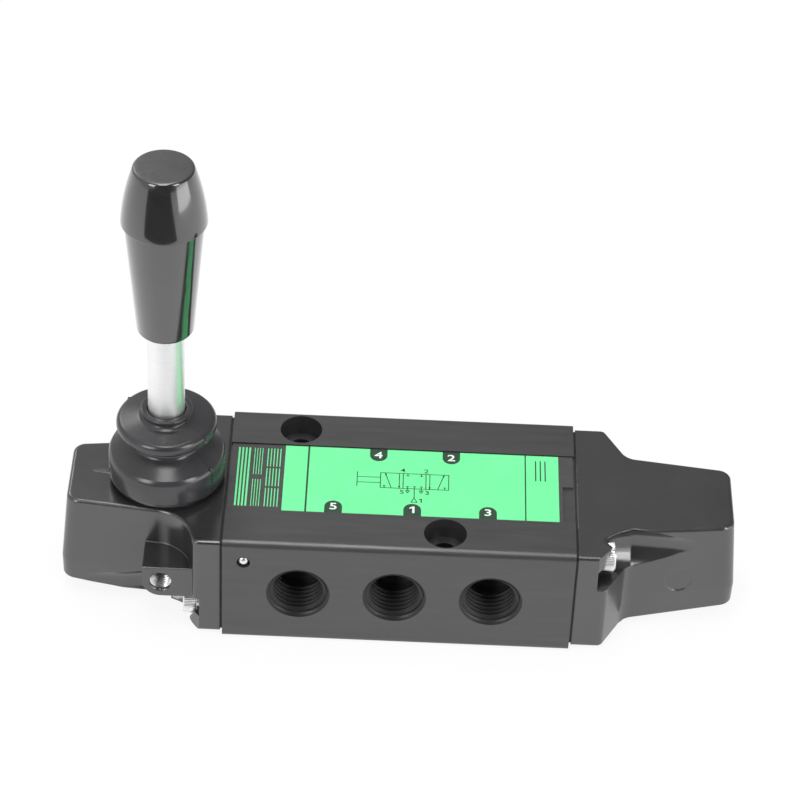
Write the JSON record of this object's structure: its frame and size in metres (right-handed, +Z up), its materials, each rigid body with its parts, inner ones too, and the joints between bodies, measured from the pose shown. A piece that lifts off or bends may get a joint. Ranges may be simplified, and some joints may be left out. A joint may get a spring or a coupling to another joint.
{
  "type": "hand lever air valve",
  "caption": "Hand lever spool valve for compressed air: a ported bar body between two cast covers, with a knobbed lever in a rubber boot.",
  "frame": {"origin": "middle of the valve, on the plane of the body's underside", "axes": "+X along the spool away from the lever, +Y towards the two-port back, +Z up"},
  "size_m": [0.1562, 0.0474, 0.1154],
  "materials": {
    "black_anodised": "black anodised, satin",
    "black_casting": "black painted die casting, satin",
    "label": "printed plate, mint green on black",
    "bright_steel": "ground, bright",
    "zinc_steel": "zinc plated, bright",
    "spring_steel": "oiled spring wire",
    "bronze": "turned, bare",
    "alloy": "turned, bare",
    "rubber": "nitrile rubber, matt",
    "boot_rubber": "moulded rubber, satin",
    "nylon": "moulded, natural white",
    "phenolic": "moulded, polished black"
  },
  "bodies": {
    "housing": {"valve_body": "black_anodised", "label_plate": "label", "plug_ball": "bright_steel", "lever_housing": "black_casting", "end_cover": "black_casting", "gasket_left": "rubber", "gasket_right": "rubber", "cover_screws_left": "zinc_steel", "cover_screws_right": "zinc_steel", "spring_washers_left": "zinc_steel", "spring_washers_right": "zinc_steel", "end_sleeve_left": "alloy", "end_sleeve_right": "alloy", "port_cage_1": "bronze", "port_cage_2": "bronze", "port_cage_3": "bronze", "port_cage_4": "bronze", "port_cage_5": "bronze", "spool_seal_1": "rubber", "spool_seal_2": "rubber", "spool_seal_3": "rubber", "spool_seal_4": "rubber", "spool_seal_5": "rubber", "spool_seal_6": "rubber", "detent_spring": "spring_steel", "detent_block": "nylon", "detent_circlip": "spring_steel", "pivot_pin": "bright_steel", "thrust_washers": "bronze", "lever_boot": "boot_rubber"},
    "lever": {"lever_hub": "zinc_steel", "pivot_bush": "bronze", "lever_rod": "zinc_steel", "knob": "phenolic", "knob_insert": "bronze"},
    "spool_train": {"spool": "alloy", "spool_yoke": "bright_steel", "detent_stem": "bright_steel"}
  },
  "joints": [
    {"name": "lever_tilt", "type": "hinge", "parent": "housing", "child": "lever", "pos_m": [-0.0542, 0, 0.025], "axis": [0, 1, 0], "range_deg": [-15, 15], "deforming": ["lever_boot"]},
    {"name": "spool_slide", "type": "slide", "parent": "housing", "child": "spool_train", "axis": [1, 0, 0], "range_m": [-0.00275, 0.00275], "deforming": ["detent_spring"]}
  ],
  "couplings": [
    {"joint": "spool_slide", "follows": "lever_tilt", "m_per_rad": -0.0105}
  ]
}
